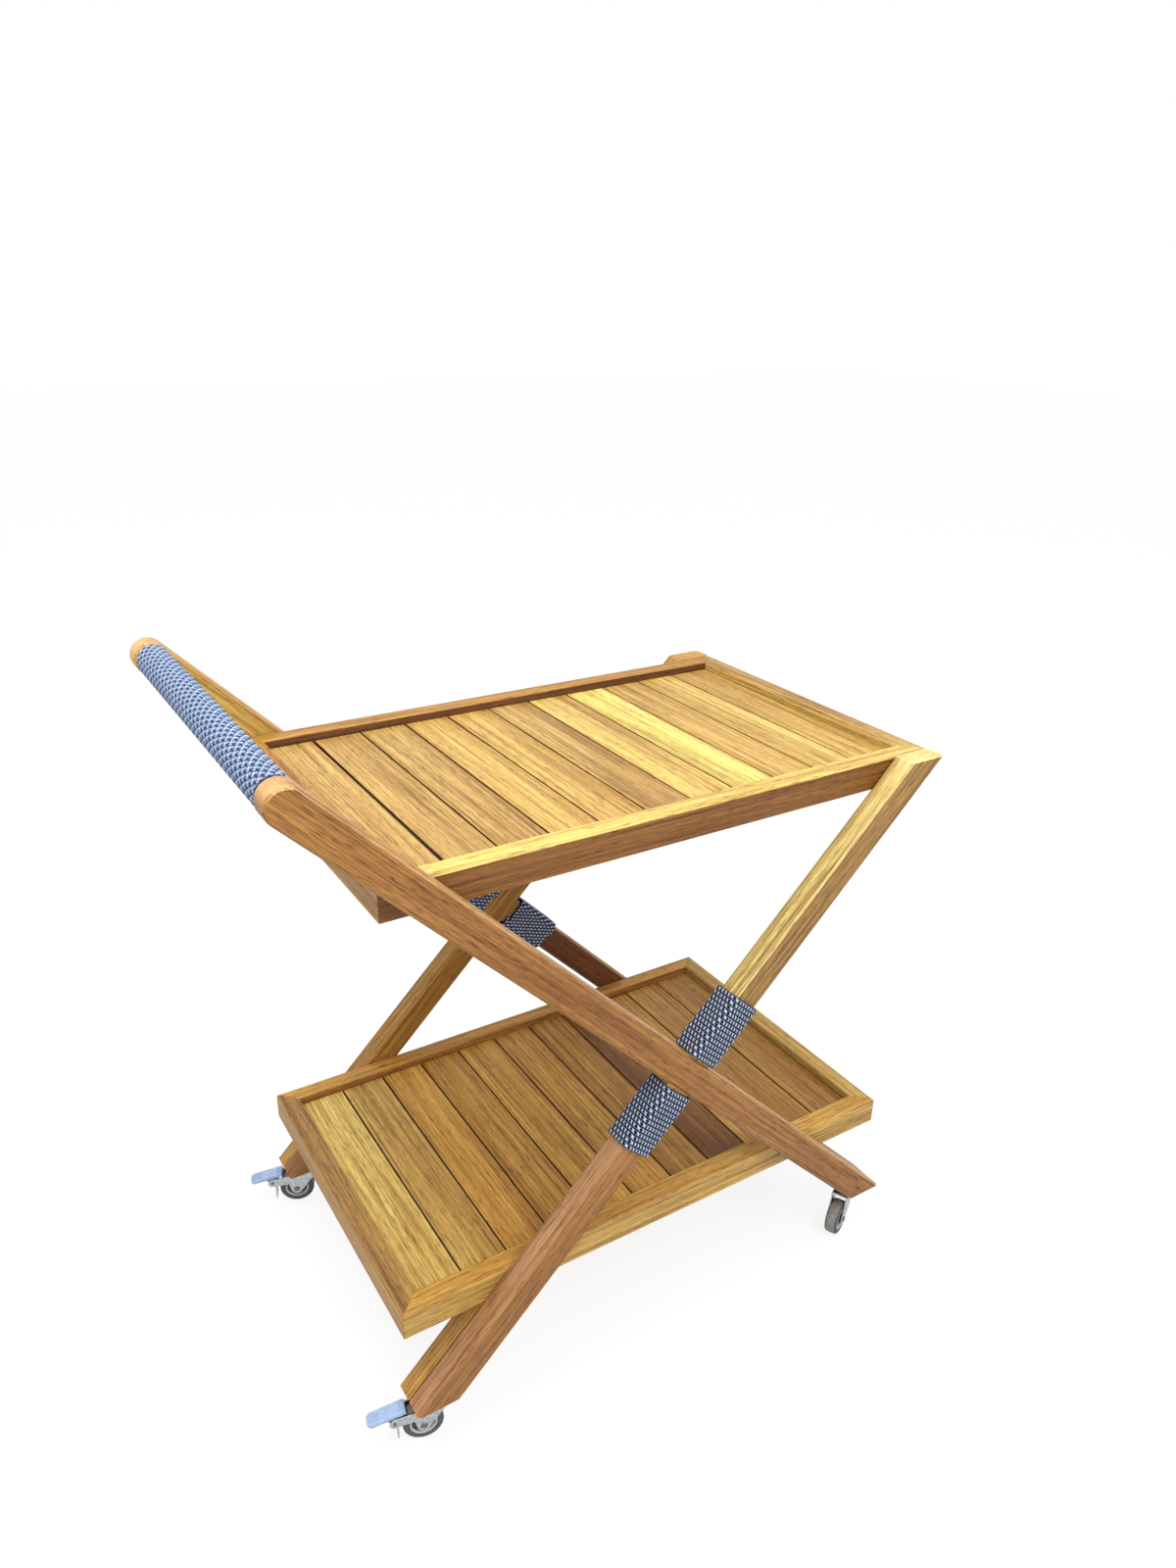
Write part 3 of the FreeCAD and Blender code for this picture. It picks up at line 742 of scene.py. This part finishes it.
def hardware(name, code, second, patch, rough, spread, metal, depth):
    """Finish of two near tones in patches of a given size, with its roughness spread and fine grain."""
    material, tree, shader = new_material(name)
    place = add(tree, "TexCoord", out="Object")
    cloud = add(tree, "TexNoise", {"Vector": place, "Scale": 1 / (patch * MM), "Detail": tint_detail})
    tint = mix(tree, ramp(tree, cloud, tint_low, tint_high), linear(code), linear(second))
    tree.links.new(tint, shader.inputs["Base Color"])
    dull = ramp(tree, cloud, noise_low, noise_high, rough - spread, rough + spread)
    tree.links.new(dull, shader.inputs["Roughness"])
    fine = add(tree, "TexNoise", {"Vector": place, "Scale": 1 / fine_size, "Detail": fine_detail})
    relief = add(tree, "Bump", {"Strength": fine_strength, "Distance": depth * MM, "Height": fine})
    tree.links.new(relief, shader.inputs["Normal"])
    shader.inputs["Metallic"].default_value = metal
    return material


zinc, steel, rubber, pale_tread, pale_nylon, dark_nylon, blue_abs, black_abs = (
    hardware(name, *look) for name, look in hardware_looks.items()
)
print("hardware finishes", list(hardware_looks))

# %% [markdown]
# ## Turned caster pieces
#
# Tyres, wheel centres, rivet heads and dust rings are round, so each is half a section turned about the
# axle or the king pin. Cylinders would give sharp rims. A section drawn point by point has the rounded
# shoulder of the tyre, the thin pale ring and the dark dish inside it that the wheels show.

# %% Turned caster pieces
tyre_steps, ring_steps, rivet_steps = 64, 48, 24
tread_start = 24.2 * MM
# A direction that no axle or king pin has, from which the first spoke of a turned piece is found
slant = (0.36, 0.48, 0.8)


def turned(section, centre, axis, count):
    """Grid of a closed section of (radius, along) pairs in mm, turned about an axis through centre."""
    axis = np.array(axis, dtype=float)
    first = np.cross(axis, slant)
    first /= np.linalg.norm(first)
    angle = np.linspace(0, 2 * math.pi, count, endpoint=False)[:, None]
    spoke = np.cos(angle) * first + np.sin(angle) * np.cross(axis, first)
    section = np.array([*section, section[0]]) * MM
    return np.array(centre) + section[:, :1, None] * spoke + section[:, 1:, None] * axis


def both_sides(half):
    """Section followed by its mirror image across the middle of the wheel."""
    half = np.array(half)
    return np.concatenate([half, half[::-1] * (1, -1)])


tyre_section = both_sides([(17.1, 8.0), (18.0, 8.8), (21.5, 8.9), (23.4, 8.2), (24.6, 6.6), (25.0, 4.5)])
ring_section = both_sides([(14.3, 5.0), (14.7, 8.0), (15.2, 8.5), (16.4, 8.5), (16.9, 8.0)])
dish_section = both_sides([(3.1, 9.2), (5.6, 9.2), (6.2, 8.6), (6.6, 5.2), (14.4, 5.6)])
rivet_section = [(0, 13.6), (2.2, 13.4), (3.8, 12.8), (4.7, 11.9), (4.8, 11.6), (0, 11.6)]
dust_section = [(11.0, 61.3), (13.6, 61.3), (14.3, 62.2), (14.3, 65.2), (13.0, 66.6), (11.0, 66.8)]
caster_corners = ("rear_right", "rear_left", "front_right", "front_left")
joints = {joint["name"]: joint for joint in frame["record"]["behaviour"]["joints"]}
for corner in caster_corners:
    caster, wheel = corner + "_caster", corner + "_wheel_body"
    roll = joints[corner + "_roll"]
    hub, axle = np.array(roll["pos_m"]), np.array(roll["axis"], dtype=float)
    king_pin = np.array(joints[corner + "_swivel"]["pos_m"]) * (1, 1, 0)
    tyre = skin(corner + "_tyre_look", [turned(tyre_section, hub, axle, tyre_steps)], rubber)
    tyre.data.materials.append(pale_tread)
    # The tread takes the paler tone and the sides the darker one with its painted shade
    reach = measured(tyre.data.polygons, "center") - hub
    reach = np.linalg.norm(reach - (reach @ axle)[:, None] * axle, axis=1)
    tyre.data.polygons.foreach_set("material_index", (reach > tread_start).astype(np.int32))
    settle(tyre, wheel, "tyre", corner + "_tyre")
    ring = skin(corner + "_wheel_ring", [turned(ring_section, hub, axle, ring_steps)], pale_nylon)
    settle(ring, wheel, "wheel_core", corner + "_wheel")
    dish = skin(corner + "_wheel_dish", [turned(dish_section, hub, axle, ring_steps)], dark_nylon)
    settle(dish, wheel, "wheel_core")
    rivets = [turned(rivet_section, hub, way * axle, rivet_steps) for way in (1, -1)]
    settle(skin(corner + "_rivet_heads", rivets, steel), caster, "zinc")
    dust_ring = turned(dust_section, king_pin, upward, ring_steps)
    settle(skin(corner + "_dust_ring", [dust_ring], dark_nylon), "frame", "zinc")
print("turned pieces for", len(caster_corners), "casters")

# %% [markdown]
# ## Pressed and moulded caster pieces
#
# Forks, pins, pedals, levers and plates keep the frame's shapes, which already have their ribs, slots and
# folds. Their edges are rounded a little, as pressing and moulding leave them.


# %% Pressed and moulded caster pieces
def formed(node, body, material, slot, ease):
    """Copy of a solid in its finish, with its edges eased by so many mm."""
    piece = eased_copy(node, ease * MM)
    piece.data.materials.append(material)
    settle(piece, body, slot, node)


# Body, finish, slot and ease in mm
formed_pieces = {
    "fork": ("caster", zinc, "zinc", 0.5),
    "axle": ("caster", steel, "zinc", 0.2),
    "pedal_pin": ("caster", steel, "zinc", 0.3),
    "pedal": ("brake", blue_abs, "pedal", 0.25),
    "lever": ("brake", black_abs, "lever", 0.4),
    "brake_plate": ("brake", zinc, "zinc", 0.4),
}
stem_ease = 0.4
for corner in caster_corners:
    for name, (body, *look) in formed_pieces.items():
        # The front casters have no brake
        if corner + "_" + name in nodes:
            formed(corner + "_" + name, corner + "_" + body, *look)
formed("caster_stems", "frame", zinc, "zinc", stem_ease)
print("pressed and moulded pieces done")

# %% [markdown]
# ## Slat screws
#
# The slats are held from below by one screw at each end, through the ledgers. Only the rounded heads show,
# under the trays, so only the heads are made.

# %% Slat screws
screw_section = [(0, 1.4), (1.6, 1.3), (2.8, 0.8), (3.2, 0), (0, 0)]
screw_steps, downward = 12, (0, 0, -1)
ledger_half = 7 * MM
slat_middles = slat_low[0] + (np.arange(slat_count) + 0.5) / slat_count * (slat_high[0] - slat_low[0])
for tray in ("top_tray", "lower_tray"):
    ledger_low, ledger_high = np.array(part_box(tray + "_ledgers"))
    sides = (ledger_low[1] + ledger_half, ledger_high[1] - ledger_half)
    screw_places = [(x, y, ledger_low[2]) for y in sides for x in slat_middles]
    screws = [turned(screw_section, place, downward, screw_steps) for place in screw_places]
    settle(skin(tray + "_slat_screws", screws, zinc), "frame", "zinc")
print("screws under each tray", len(screws))
